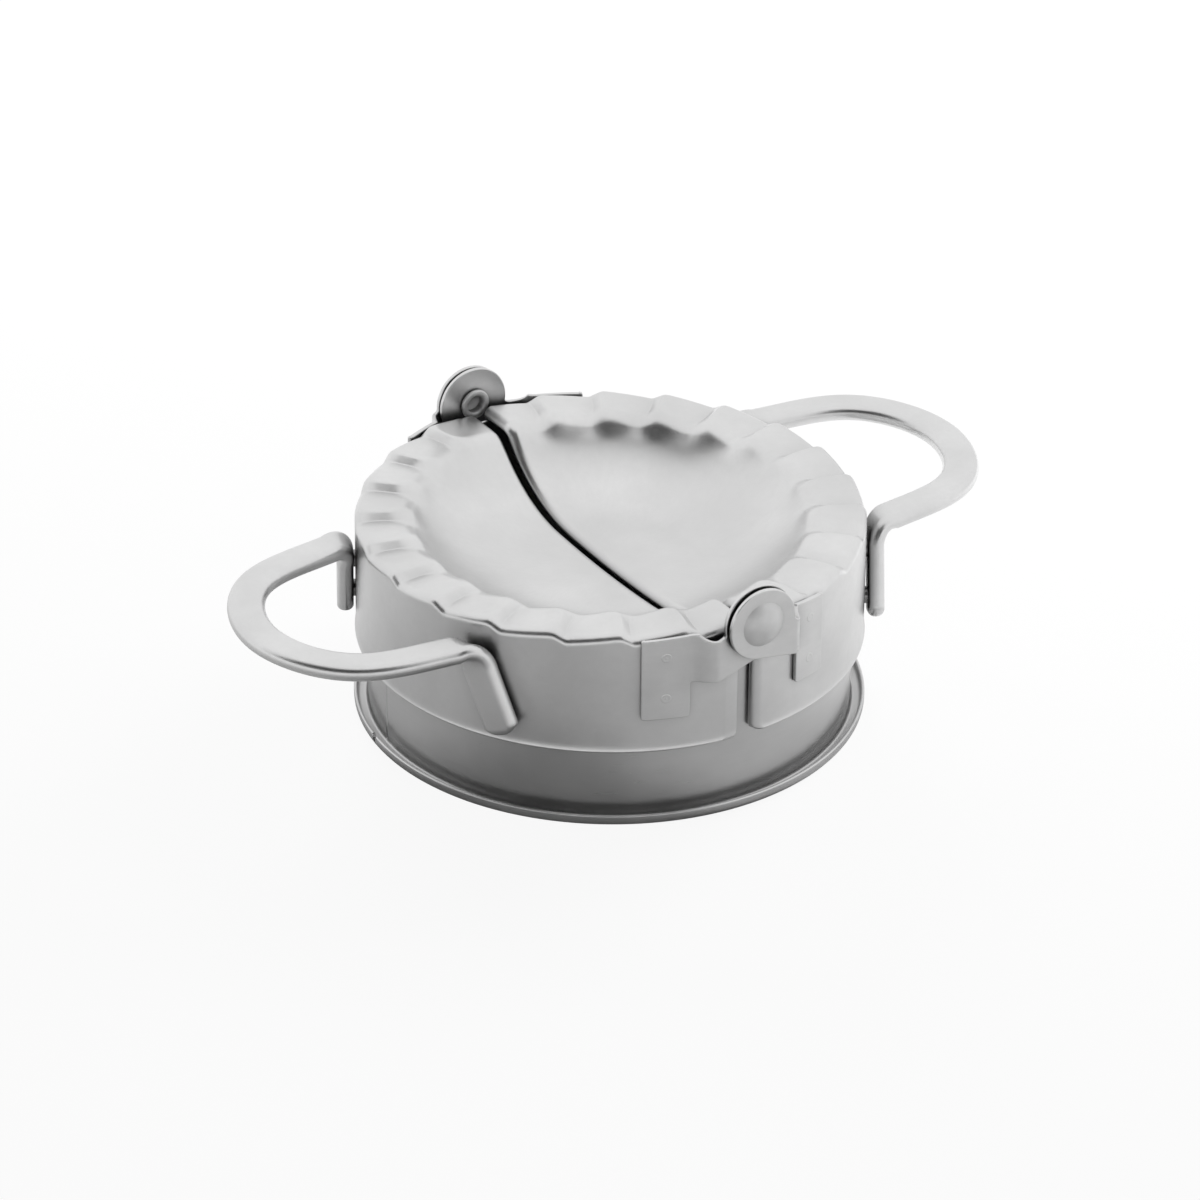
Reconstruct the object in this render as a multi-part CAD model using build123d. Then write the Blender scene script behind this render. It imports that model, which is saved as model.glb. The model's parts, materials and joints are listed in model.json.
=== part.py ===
from build123d import *
import math
import os

os.makedirs("parts", exist_ok=True)

# Empanada press: two hinged half dies with loop handles, standing over a round dough cutter.
# X runs along the handles, Y is the hinge line, Z is up and the cutter rim stands on Z = 0.
# All lengths are millimetres and all angles are degrees.

# Half dies
skirt_radius = 44.0
skirt_bottom_z = 14.2
sealing_z = 36.35
die_sheet = 0.7
split_gap = 1.4
skirt_split_gap = 2.7
shoulder_radius = 1.5

# Dish section: a wide floor arc, a tighter wall arc and a rounded crest
dish_radius = 220.0
dish_spread = 4.0
wall_radius = 26.0
wall_slope = 50.0
crest_radius = 4.0

# Pleats round the sealing ring
pleat_count = 24
pleat_height = 0.75
pleat_sharpness = 0.78
pleat_underside_sharpness = 0.55
steps_per_pleat = 12
rows_per_arc = 8
surface_tolerance = 0.01
centre_hole = 0.4

# Dough cutter: it stands inside the skirt and carries the dies on its top edge
cutter_sheet = 0.6
cutter_play = 1.3
cutter_radius = skirt_radius - die_sheet - cutter_play
stack_clearance = 0.03
cutter_top_z = sealing_z - pleat_height - die_sheet - stack_clearance
rim_width = 2.5
rim_radius = cutter_radius + rim_width
rim_height = 2.2
rim_bend_radius = 0.9
seam_angle = 172.0
seam_width = 0.3
seam_depth = 0.3
rim_notch_width = 1.0
rim_notch_depth = 0.8

# Hinges: the pin line lies just above the sealing ring and the ears stand off the skirt
hinge_rise = 0.55
hinge_z = sealing_z + hinge_rise
ear_radius = 6.4
ear_stand_off = 1.25
inner_ear_y = skirt_radius + ear_stand_off
ear_gap = 0.2
leaf_sheet = 0.8
leaf_clearance = 0.02
leaf_top_drop = 0.5
leaf_top_z = hinge_z - leaf_top_drop
leaf_corner_radius = 1.0
neck_radius = 1.0
inner_leaf_far_x = 19.5
inner_leaf_near_x = 12.0
inner_arm_near_x = 7.6
inner_leaf_height = 15.6
inner_leaf_bottom_z = leaf_top_z - inner_leaf_height
inner_arm_height = 8.2
inner_arm_bottom_z = leaf_top_z - inner_arm_height
outer_leaf_far_x = 15.4
outer_leaf_near_x = 9.0
outer_arm_near_x = 6.9
outer_leaf_height = 14.5
outer_leaf_bottom_z = leaf_top_z - outer_leaf_height
outer_arm_height = 6.1
outer_arm_bottom_z = leaf_top_z - outer_arm_height

# Rivets
rivet_radius = 2.2
rivet_clearance = 0.05
rivet_head_radius = 4.0
rivet_head_height = 1.5
rivet_tail_radius = 2.8
rivet_tail_length = 0.75
rivet_bore_radius = 1.6
rivet_bore_depth = 2.0
rivet_tail_clearance = 0.05

# Loop handles
bar_width = 6.3
bar_thickness = 2.3
bar_edge_radius = 0.9
handle_drop = 2.85
handle_top_z = sealing_z - handle_drop
handle_length = 28.4
handle_reach = skirt_radius + handle_length
knee_setback = 11.5
arm_knee_x = handle_reach - knee_setback
arm_knee_y = 16.6
arm_slope = 9.0
leg_azimuth = 29.5
leg_gap = 0.45
leg_corner_shift = -1.8
leg_splay = 22.0
leg_height = 16.5
leg_bottom_z = handle_top_z - leg_height
elbow_length = 2.7
leg_tip_radius = 4.0
arm_section_count = 14
elbow_section_count = 6

# Spot welds
weld_clearance = 0.02
leaf_weld_radius = 1.6
weld_dimple_depth = 0.18
leaf_weld_depth = 3.8
leaf_weld_high_z = leaf_top_z - leaf_weld_depth
leaf_weld_spacing = 7.8
leaf_weld_low_z = leaf_weld_high_z - leaf_weld_spacing
leg_weld_radius = 1.5
leg_weld_depth = 5.5
leg_weld_high_z = handle_top_z - leg_weld_depth
leg_weld_spacing = 7.5
leg_weld_low_z = leg_weld_high_z - leg_weld_spacing


def half_turn(shape):
    """The opposite half is the same piece turned half round the centre axis."""
    return shape.rotate(Axis.Z, 180)


def save(shape, name):
    """One node per file; a body of several separate solids stays one compound."""
    shape.label = name
    export_step(shape, f"parts/{name}.step")


# ---------------------------------------------------------------- half dies

def die_meridian():
    """Section from the dish centre over the crest and ring to the foot of the shoulder."""
    wall_rise = math.radians(wall_slope)
    floor_rise = math.radians(dish_spread)
    floor_depth = dish_radius * (1 - math.cos(floor_rise))
    wall_depth = wall_radius * (math.cos(floor_rise) - math.cos(wall_rise))
    crest_depth = crest_radius * (1 - math.cos(wall_rise))
    floor_z = sealing_z - floor_depth - wall_depth - crest_depth
    floor = JernArc((0, floor_z), (1, 0), dish_radius, dish_spread)
    wall = JernArc(floor @ 1, floor % 1, wall_radius, wall_slope - dish_spread)
    crest = JernArc(wall @ 1, wall % 1, crest_radius, -wall_slope)
    ring_end = (skirt_radius - shoulder_radius, sealing_z)
    ring = Line(crest @ 1, ring_end)
    shoulder = JernArc(ring_end, (1, 0), shoulder_radius, -90)
    return [floor, wall, crest, ring, shoulder]


def pleat_wave(angle, sharpness):
    """Smooth shingle wave between -1 and 1 that drops steeply at every crease."""
    phase = math.radians(angle * pleat_count) + math.pi
    swing = math.atan2(sharpness * math.sin(phase), 1 + sharpness * math.cos(phase))
    return swing / math.asin(sharpness)


def pleat_strength(arc_index, along):
    """The pleats grow up the wall, stay full over the crest and ring, and fade down the shoulder."""
    if arc_index == 0:
        return 0.0
    if arc_index == 1:
        ramp = max(0.0, 2 * along - 1)
        return ramp * ramp * (3 - 2 * ramp)
    if arc_index == 4:
        return 1 - along * along * (3 - 2 * along)
    return 1.0


def surface_point(point, normal, shift, angle):
    """Meridian point moved along its normal and turned to its place round the axis."""
    radius = max(point.X + normal.X * shift, centre_hole)
    height = point.Y + normal.Y * shift
    x = radius * math.cos(math.radians(angle))
    y = radius * math.sin(math.radians(angle))
    return Vector(x, y, height)


def pleat_surface(depth, sharpness, middle_angle):
    """One pleat wedge of the die surface, lying the given depth below the upper face."""
    pitch = 360 / pleat_count
    grid = []
    for arc_index, arc in enumerate(die_meridian()):
        first = 0 if arc_index == 0 else 1
        for step in range(first, rows_per_arc + 1):
            along = step / rows_per_arc
            point = arc @ along
            heading = arc % along
            normal = Vector(-heading.Y, heading.X)
            lift = pleat_height * pleat_strength(arc_index, along)
            line = []
            for column in range(steps_per_pleat + 1):
                angle = middle_angle + pitch * (column / steps_per_pleat - 0.5)
                shift = lift * pleat_wave(angle, sharpness) - depth
                line.append(surface_point(point, normal, shift, angle))
            grid.append(line)
    return Face.make_surface_from_array_of_points(grid, tol=surface_tolerance, min_deg=3, max_deg=3)


def border(face, middle_angle):
    """Border edges of a pleat wedge: outer arc, inner arc, low angle side, high angle side."""
    turned = {}
    for edge in face.edges():
        middle = (edge @ 0.5).rotate(Axis.Z, -middle_angle)
        turned[edge] = middle
    by_side = sorted(turned, key=lambda edge: turned[edge].Y)
    inner, outer = sorted(by_side[1:3], key=lambda edge: turned[edge].X)
    return outer, inner, by_side[0], by_side[-1]


def skirt_segment(foot, middle_angle):
    """Faces of the skirt below one wedge: low angle end, the three lasting walls, high angle end."""
    skirt_drop = sealing_z - shoulder_radius - skirt_bottom_z
    segment = Solid.extrude(foot, Vector(0, 0, -skirt_drop))
    walls = segment.faces().sort_by(Axis.Z)[:-1]
    turn = math.radians(middle_angle)
    sideways = Vector(-math.sin(turn), math.cos(turn), 0)
    walls = sorted(walls, key=lambda face: face.center().dot(sideways))
    return walls[0], walls[1:-1], walls[-1]


def wedge_faces(middle_angle):
    """Lasting faces of one wedge from the centre to the skirt foot, then its low and high side faces."""
    upper = pleat_surface(0, pleat_sharpness, middle_angle)
    lower = pleat_surface(die_sheet, pleat_underside_sharpness, middle_angle)
    upper_border = border(upper, middle_angle)
    lower_border = border(lower, middle_angle)
    foot = Face.make_surface_from_curves(upper_border[0], lower_border[0])
    centre = Face.make_surface_from_curves(upper_border[1], lower_border[1])
    low_skirt, skirt_walls, high_skirt = skirt_segment(foot, middle_angle)
    low_side = [Face.make_surface_from_curves(upper_border[2], lower_border[2]), low_skirt]
    high_side = [Face.make_surface_from_curves(upper_border[3], lower_border[3]), high_skirt]
    return [upper, lower, centre, *skirt_walls], low_side, high_side


def left_die():
    """Dish, pleated ring, shoulder and skirt as one stamping, kept left of the split."""
    pitch = 360 / pleat_count
    wedge_total = pleat_count // 2 + 1
    wedges = [wedge_faces(90 + wedge * pitch) for wedge in range(wedge_total)]
    faces = []
    for lasting, low_side, high_side in wedges:
        faces += lasting
    faces += wedges[0][1]
    faces += wedges[-1][2]
    stamping = Solid(Shell(faces))
    reach = 2 * skirt_radius
    left_side = Pos(-reach / 2 - split_gap / 2, 0, 0) * Box(reach, 2 * reach, 2 * reach)
    skirt_top_z = sealing_z - shoulder_radius
    relief = Pos(0, 0, skirt_top_z - reach / 2) * Box(skirt_split_gap, 2 * reach, reach)
    relief = relief - Cylinder(skirt_radius - 2 * die_sheet, 2 * reach)
    return (stamping & left_side) - relief


# ---------------------------------------------------------------- dough cutter

def cutter_ring():
    """Straight cutting band whose foot is rolled outward into an open rim."""
    wall_x = cutter_radius - cutter_sheet / 2
    lip_x = rim_radius - cutter_sheet / 2
    foot_z = cutter_sheet / 2
    wall = Line((wall_x, cutter_top_z), (wall_x, foot_z + rim_bend_radius))
    inner_bend = JernArc(wall @ 1, (0, -1), rim_bend_radius, 90)
    foot = Line(inner_bend @ 1, (lip_x - rim_bend_radius, foot_z))
    outer_bend = JernArc(foot @ 1, (1, 0), rim_bend_radius, 90)
    lip = Line(outer_bend @ 1, (lip_x, rim_height))
    band = Plane.XZ * trace(Curve([wall, inner_bend, foot, outer_bend, lip]), cutter_sheet)
    ring = revolve(band, Axis.Z, 360)
    seam_z = cutter_top_z / 2 + rim_height
    seam = Pos(cutter_radius, 0, seam_z) * Box(2 * seam_depth, seam_width, cutter_top_z)
    notch_z = rim_height - rim_notch_depth / 2
    notch = Pos(rim_radius, 0, notch_z) * Box(4 * cutter_sheet, rim_notch_width, rim_notch_depth)
    seam_place = Rot(0, 0, seam_angle)
    return ring - seam_place * seam - seam_place * notch


# ---------------------------------------------------------------- hinges

def leaf_strip(ear_y, leaf_far_x, leaf_near_x, arm_near_x):
    """Bent strip seen from above: it hugs the skirt, then steps out to the flat ear."""
    hug_radius = skirt_radius + leaf_clearance + leaf_sheet / 2
    far_angle = 270 + math.degrees(math.asin(leaf_far_x / hug_radius))
    near_angle = 270 + math.degrees(math.asin(leaf_near_x / hug_radius))
    hug = CenterArc((0, 0), hug_radius, far_angle, near_angle - far_angle)
    ear_line_y = -ear_y - leaf_sheet / 2
    step = Spline((hug @ 1, Vector(arm_near_x, ear_line_y)), tangents=(hug % 1, (-1, 0)))
    flat = Line((arm_near_x, ear_line_y), (-ear_radius, ear_line_y))
    strip = trace(Curve([hug, step, flat]), leaf_sheet)
    height = hinge_z + 2 * ear_radius
    return extrude(strip, height)


def leaf_outline(leaf_far_x, leaf_near_x, arm_near_x, leaf_bottom_z, arm_bottom_z):
    """Side view of a leaf: welded plate, arm narrowing to the round ear, and a notch at the neck."""
    plate_middle = (leaf_far_x + leaf_near_x) / 2
    plate_width = leaf_far_x - leaf_near_x
    plate_height = leaf_top_z - leaf_bottom_z
    plate = Pos(plate_middle, leaf_bottom_z + plate_height / 2) * Rectangle(plate_width, plate_height)
    arm_corners = [(0, leaf_top_z), (plate_middle, leaf_top_z), (plate_middle, arm_bottom_z)]
    arm_corners += [(arm_near_x, arm_bottom_z), (0, hinge_z - ear_radius)]
    arm = make_face(Polyline(*arm_corners, close=True))
    ear = Pos(0, hinge_z) * Circle(ear_radius)
    neck = Pos(ear_radius + neck_radius, leaf_top_z) * Circle(neck_radius)
    outline = plate + arm + ear - neck
    low_corners = [vertex for vertex in outline.vertices() if vertex.Y < leaf_bottom_z + leaf_corner_radius]
    outline = fillet(low_corners, leaf_corner_radius)
    side = Plane((0, 0, 0), x_dir=(1, 0, 0), z_dir=(0, -1, 0)) * outline
    return extrude(side, 2 * skirt_radius)


def weld_axes(leaf_far_x, leaf_near_x):
    """Outward directions of the two spot welds of a leaf."""
    middle = math.degrees(math.asin((leaf_far_x + leaf_near_x) / 2 / skirt_radius))
    places = []
    for height in (leaf_weld_high_z, leaf_weld_low_z):
        places.append(Rot(0, 0, 270 + middle) * Pos(skirt_radius, 0, height) * Rot(0, 90, 0))
    return places


def rivet_hole(radius):
    """Hole on the front hinge line."""
    return Pos(0, -skirt_radius, hinge_z) * Rot(90, 0, 0) * Cylinder(radius, 4 * rivet_head_radius)


def hinge_leaf(ear_y, leaf_far_x, leaf_near_x, arm_near_x, leaf_bottom_z, arm_bottom_z, hole_radius):
    """Front leaf of the +X side; the other three are mirrored or turned from it."""
    strip = leaf_strip(ear_y, leaf_far_x, leaf_near_x, arm_near_x)
    leaf = strip & leaf_outline(leaf_far_x, leaf_near_x, arm_near_x, leaf_bottom_z, arm_bottom_z)
    leaf = leaf - rivet_hole(hole_radius)
    for place in weld_axes(leaf_far_x, leaf_near_x):
        leaf = leaf - place * Cylinder(leaf_weld_radius, 4 * leaf_sheet)
    return leaf


def outer_leaf():
    ear_y = inner_ear_y + leaf_sheet + ear_gap
    return hinge_leaf(ear_y, outer_leaf_far_x, outer_leaf_near_x, outer_arm_near_x,
                      outer_leaf_bottom_z, outer_arm_bottom_z, rivet_radius)


def inner_leaf():
    leaf = hinge_leaf(inner_ear_y, inner_leaf_far_x, inner_leaf_near_x, inner_arm_near_x,
                      inner_leaf_bottom_z, inner_arm_bottom_z, rivet_radius + rivet_clearance)
    return mirror(leaf, Plane.YZ)


def leaf_welds(leaf_far_x, leaf_near_x):
    """Spot weld nuggets filling the leaf, each with a shallow electrode dimple."""
    nuggets = []
    outside = leaf_clearance + leaf_sheet
    for place in weld_axes(leaf_far_x, leaf_near_x):
        nugget = place * Pos(0, 0, outside / 2) * Cylinder(leaf_weld_radius, outside)
        ball_radius = (leaf_weld_radius ** 2 + weld_dimple_depth ** 2) / (2 * weld_dimple_depth)
        ball = place * Pos(0, 0, outside + ball_radius - weld_dimple_depth) * Sphere(ball_radius)
        barrel = Cylinder(skirt_radius + weld_clearance, 4 * skirt_radius)
        nuggets.append(nugget - ball - barrel)
    return nuggets


def front_rivet():
    """Domed semi-tubular rivet; its tail is rolled over behind the inner ear."""
    head_y = inner_ear_y + 2 * leaf_sheet + ear_gap
    tail_y = inner_ear_y - rivet_tail_clearance
    end_y = tail_y - rivet_tail_length
    dome_radius = (rivet_head_radius ** 2 + rivet_head_height ** 2) / (2 * rivet_head_height)
    dome = Pos(0, -head_y - rivet_head_height + dome_radius, hinge_z) * Sphere(dome_radius)
    head_block = Pos(0, -head_y - rivet_head_height, hinge_z) * Box(
        4 * rivet_head_radius, 2 * rivet_head_height, 4 * rivet_head_radius)
    head = dome & head_block
    shank_length = head_y - end_y
    shank = Rot(90, 0, 0) * Cylinder(rivet_radius, shank_length)
    shank = Pos(0, -head_y + shank_length / 2, hinge_z) * shank
    roll_radius = rivet_tail_length / 2
    tail = Pos(0, -tail_y + roll_radius, hinge_z) * Rot(90, 0, 0) * Torus(
        rivet_tail_radius - roll_radius, roll_radius)
    bore = Pos(0, -end_y, hinge_z) * Rot(90, 0, 0) * Cylinder(rivet_bore_radius, 2 * rivet_bore_depth)
    return head + shank + tail - bore


# ---------------------------------------------------------------- loop handles

def leg_frame():
    """Outward normal and sideways direction of the rear leg of the left handle."""
    azimuth = math.radians(leg_azimuth)
    outward = Vector(-math.cos(azimuth), math.sin(azimuth), 0)
    sideways = Vector(math.sin(azimuth), math.cos(azimuth), 0)
    return outward, sideways


def leg_point(shift, height):
    """Point on the leg's middle plane, shifted sideways from its tangent line."""
    outward, sideways = leg_frame()
    plane_distance = skirt_radius + leg_gap + bar_thickness / 2
    level = outward * plane_distance + sideways * shift
    return Vector(level.X, level.Y, height)


def leg_shift(height):
    """Sideways place of the splayed leg at a height."""
    drop = handle_top_z - bar_thickness / 2 - height
    return leg_corner_shift + drop * math.tan(math.radians(leg_splay))


def handle_path():
    """Middle line of half a handle: loop end, arm, elbow and leg."""
    level = handle_top_z - bar_thickness / 2
    corner = leg_point(leg_corner_shift, level)
    slope = math.radians(arm_slope)
    arm_heading = Vector(math.cos(slope), math.sin(slope), 0)
    arm_end = corner - arm_heading * elbow_length
    tip = Vector(bar_width / 2 - handle_reach, 0, level)
    knee = Vector(-arm_knee_x, arm_knee_y, level)
    arm = Spline((tip, knee, arm_end), tangents=((0, 1, 0), arm_heading))
    leg_start_z = level - elbow_length
    leg_start = leg_point(leg_shift(leg_start_z), leg_start_z)
    elbow = Bezier(arm_end, corner, leg_start)
    leg = Line(leg_start, leg_point(leg_shift(leg_bottom_z), leg_bottom_z))
    return arm, elbow, leg


def bar_section(point, heading, upward):
    """Rounded flat bar section square to the path."""
    across = heading.cross(upward).normalized()
    place = Plane(point, x_dir=across, z_dir=heading)
    return place * RectangleRounded(bar_width, bar_thickness, bar_edge_radius)


def half_handle():
    """Bar that lies flat round the loop, turns down at the elbow and stands along the skirt."""
    arm, elbow, leg = handle_path()
    outward, sideways = leg_frame()
    arm_sections = []
    for step in range(arm_section_count + 1):
        along = step / arm_section_count
        arm_sections.append(bar_section(arm @ along, arm % along, Vector(0, 0, 1)))
    elbow_sections = []
    for step in range(elbow_section_count + 1):
        along = step / elbow_section_count
        turn = math.radians(90 * along)
        upward = Vector(0, 0, 1) * math.cos(turn) - outward * math.sin(turn)
        elbow_sections.append(bar_section(elbow @ along, elbow % along, upward))
    leg_section = bar_section(leg @ 0, leg % 0, -outward)
    leg_bar = extrude(leg_section, leg.length)
    return loft(arm_sections) + loft(elbow_sections) + leg_bar - leg_tip_waste(leg)


def leg_tip_waste(leg):
    """Material outside the rounded end of the leg."""
    outward, sideways = leg_frame()
    heading = leg % 1
    place = Plane(leg @ 1, x_dir=heading, z_dir=outward)
    beyond_middle = Rectangle(leg_tip_radius, 2 * bar_width, align=(Align.MAX, Align.CENTER))
    outside = beyond_middle - Pos(-leg_tip_radius, 0) * Circle(leg_tip_radius)
    return extrude(place * outside, bar_thickness, both=True)


def left_handle():
    rear = half_handle()
    return rear + mirror(rear, Plane.XZ)


def left_handle_welds():
    """Projection welds bridging the gap between each leg and the skirt."""
    outward, sideways = leg_frame()
    nuggets = []
    for height in (leg_weld_high_z, leg_weld_low_z):
        middle = leg_point(leg_shift(height), height) - outward * (bar_thickness / 2)
        place = Plane(middle, x_dir=sideways, z_dir=-outward)
        stub = extrude(place * Circle(leg_weld_radius), 2 * bar_thickness)
        stub = stub - Cylinder(skirt_radius + weld_clearance, 4 * skirt_radius)
        nuggets.append(stub)
        nuggets.append(mirror(stub, Plane.XZ))
    return nuggets


# ---------------------------------------------------------------- assembly

def build():
    die = left_die()
    save(die, "left_die")
    save(half_turn(die), "right_die")
    save(cutter_ring(), "cutter_ring")
    handle = left_handle()
    save(handle, "left_handle")
    save(half_turn(handle), "right_handle")
    outer = outer_leaf()
    inner = inner_leaf()
    save(outer, "front_right_leaf")
    save(inner, "front_left_leaf")
    save(half_turn(outer), "rear_left_leaf")
    save(half_turn(inner), "rear_right_leaf")
    rivet = front_rivet()
    save(rivet, "front_rivet")
    save(half_turn(rivet), "rear_rivet")
    outer_welds = Compound(children=leaf_welds(outer_leaf_far_x, outer_leaf_near_x))
    inner_nuggets = leaf_welds(inner_leaf_far_x, inner_leaf_near_x)
    inner_welds = Compound(children=[mirror(nugget, Plane.YZ) for nugget in inner_nuggets])
    save(outer_welds, "front_right_welds")
    save(inner_welds, "front_left_welds")
    save(half_turn(outer_welds), "rear_left_welds")
    save(half_turn(inner_welds), "rear_right_welds")
    handle_welds = Compound(children=left_handle_welds())
    save(handle_welds, "left_handle_welds")
    save(half_turn(handle_welds), "right_handle_welds")


build()
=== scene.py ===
import json
import math

import bmesh
import bpy
import numpy as np
from mathutils import Matrix, Vector, geometry


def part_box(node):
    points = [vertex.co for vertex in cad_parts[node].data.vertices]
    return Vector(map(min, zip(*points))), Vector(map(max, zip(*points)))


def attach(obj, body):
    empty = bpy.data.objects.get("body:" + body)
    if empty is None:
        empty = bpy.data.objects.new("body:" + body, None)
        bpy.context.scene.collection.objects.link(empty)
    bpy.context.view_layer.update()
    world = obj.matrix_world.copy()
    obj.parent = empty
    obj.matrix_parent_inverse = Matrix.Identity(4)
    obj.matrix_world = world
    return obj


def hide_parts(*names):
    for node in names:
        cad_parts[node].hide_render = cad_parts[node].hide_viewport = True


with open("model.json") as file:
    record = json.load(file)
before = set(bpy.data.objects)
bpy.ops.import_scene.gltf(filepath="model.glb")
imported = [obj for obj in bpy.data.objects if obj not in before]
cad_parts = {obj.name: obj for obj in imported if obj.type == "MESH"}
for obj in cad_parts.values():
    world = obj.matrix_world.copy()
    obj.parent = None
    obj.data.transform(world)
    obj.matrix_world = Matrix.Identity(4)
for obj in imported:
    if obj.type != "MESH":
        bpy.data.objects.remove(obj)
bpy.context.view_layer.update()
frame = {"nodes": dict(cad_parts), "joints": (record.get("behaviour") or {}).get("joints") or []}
mm = 0.001  # sizes below are millimetres, and meshes are made in metres
foldJoint = next(joint for joint in frame["joints"] if joint["name"] == "fold")
hingeZ = foldJoint["pos_m"][2] / mm
print("frame loaded,", len(frame["nodes"]), "nodes")


# mesh helpers

def halfTurn(points):
    # the right-hand and rear pieces are the left-hand and front ones turned half round the axis
    return [(-x, -y, z) for x, y, z in points]


def addPiece(name, points, faces, body, nodes, material, sharpAngle=None):
    mesh = bpy.data.meshes.new(name)
    mesh.from_pydata([(x * mm, y * mm, z * mm) for x, y, z in points], [], faces)
    tidy = bmesh.new()
    tidy.from_mesh(mesh)
    bmesh.ops.recalc_face_normals(tidy, faces=tidy.faces)
    tidy.to_mesh(mesh)
    tidy.free()
    mesh.polygons.foreach_set("use_smooth", [True] * len(mesh.polygons))
    if sharpAngle:
        mesh.set_sharp_from_angle(angle=math.radians(sharpAngle))
    mesh.materials.append(material)
    piece = bpy.data.objects.new(name, mesh)
    bpy.context.scene.collection.objects.link(piece)
    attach(piece, body)
    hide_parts(*nodes)
    return piece


def addRow(points, newPoints):
    # appends points and returns their indices
    start = len(points)
    points.extend(newPoints)
    return list(range(start, len(points)))


def bridgeRows(rows, closed=False):
    # quads between each row of vertex indices and the next
    faces = []
    for first, second in zip(rows, rows[1:]):
        for k in range(len(first) if closed else len(first) - 1):
            after = (k + 1) % len(first)
            faces.append((first[k], first[after], second[after], second[k]))
    return faces


def fanFaces(pole, ring):
    # triangles from one vertex to a closed ring
    return [(pole, ring[k], ring[(k + 1) % len(ring)]) for k in range(len(ring))]


def closeSheet(outer, inner, faces, border, edgeSteps):
    # joins two skins of a sheet by a round edge along one closed border of vertex indices
    points = outer + inner
    strips = [[] for step in range(1, edgeSteps)]
    for k, vertex in enumerate(border):
        top = Vector(outer[vertex])
        under = Vector(inner[vertex])
        ahead = Vector(outer[border[(k + 1) % len(border)]])
        behind = Vector(outer[border[k - 1]])
        half = (top - under) / 2
        away = (ahead - behind).cross(half).normalized() * half.length
        for step, strip in enumerate(strips, 1):
            turn = math.pi * step / edgeSteps
            place = (top + under) / 2 + half * math.cos(turn) + away * math.sin(turn)
            strip += addRow(points, [tuple(place)])
    shift = len(outer)
    underside = [tuple(k + shift for k in reversed(face)) for face in faces]
    rows = [border] + strips + [[k + shift for k in border]]
    return points, faces + underside + bridgeRows(rows, closed=True)


def spread(first, last, count):
    # values that crowd towards both ends
    return [first + (last - first) * (0.5 - 0.5 * math.cos(math.pi * k / count)) for k in range(count + 1)]


def smoothMin(a, b, width):
    # the lower of two values, rounded off where they are closer than the width
    share = np.clip(0.5 + 0.5 * (b - a) / width, 0, 1)
    return b + (a - b) * share - width * share * (1 - share)


def smoothStep(value):
    value = np.clip(value, 0, 1)
    return value * value * (3 - 2 * value)


# shader groups, each built once and placed in the materials with its own values

def newGroup(name, inputs, outputs):
    group = bpy.data.node_groups.new(name, "ShaderNodeTree")
    for label, kind, value in inputs:
        socket = group.interface.new_socket(label, in_out="INPUT", socket_type=kind)
        if value is not None:
            socket.default_value = value
    for label, kind in outputs:
        group.interface.new_socket(label, in_out="OUTPUT", socket_type=kind)
    entry = group.nodes.new("NodeGroupInput")
    result = group.nodes.new("NodeGroupOutput")
    return group, entry, result


def setSocket(tree, socket, value):
    # a plain value is set on the socket, and an output of another node is linked to it
    if isinstance(value, bpy.types.NodeSocket):
        tree.links.new(value, socket)
    else:
        socket.default_value = value


def mathNode(tree, operation, *values):
    node = tree.nodes.new("ShaderNodeMath")
    node.operation = operation
    for socket, value in zip(node.inputs, values):
        setSocket(tree, socket, value)
    return node.outputs[0]


def noiseNode(tree, place, scale, detail, roughness=0.5):
    node = tree.nodes.new("ShaderNodeTexNoise")
    setSocket(tree, node.inputs["Vector"], place)
    setSocket(tree, node.inputs["Scale"], scale)
    node.inputs["Detail"].default_value = detail
    node.inputs["Roughness"].default_value = roughness
    return node.outputs["Fac"]


def buildAroundGroup():
    # place on the piece as length round the axis, height and radius, so streaks can run round it
    bandRadius = 0.044
    group, entry, result = newGroup("aroundAxis", [], [("Place", "NodeSocketVector")])
    coords = group.nodes.new("ShaderNodeTexCoord")
    split = group.nodes.new("ShaderNodeSeparateXYZ")
    group.links.new(coords.outputs["Object"], split.inputs[0])
    x, y, z = split.outputs
    angle = mathNode(group, "ARCTAN2", y, x)
    xSquare = mathNode(group, "MULTIPLY", x, x)
    ySquare = mathNode(group, "MULTIPLY", y, y)
    radius = mathNode(group, "SQRT", mathNode(group, "ADD", xSquare, ySquare))
    join = group.nodes.new("ShaderNodeCombineXYZ")
    for socket, value in zip(join.inputs, (mathNode(group, "MULTIPLY", angle, bandRadius), z, radius)):
        group.links.new(value, socket)
    group.links.new(join.outputs[0], result.inputs["Place"])
    return group


def buildGrainGroup():
    # fine brush lines: long along the stretched direction, fine across it
    inputs = [("Place", "NodeSocketVector", None), ("Stretch", "NodeSocketVector", (1, 1, 1))]
    group, entry, result = newGroup("brushLines", inputs, [("Lines", "NodeSocketFloat")])
    scaled = group.nodes.new("ShaderNodeVectorMath")
    scaled.operation = "MULTIPLY"
    group.links.new(entry.outputs["Place"], scaled.inputs[0])
    group.links.new(entry.outputs["Stretch"], scaled.inputs[1])
    lines = noiseNode(group, scaled.outputs[0], 1.0, detail=4.0, roughness=0.62)
    group.links.new(lines, result.inputs["Lines"])
    return group


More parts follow.
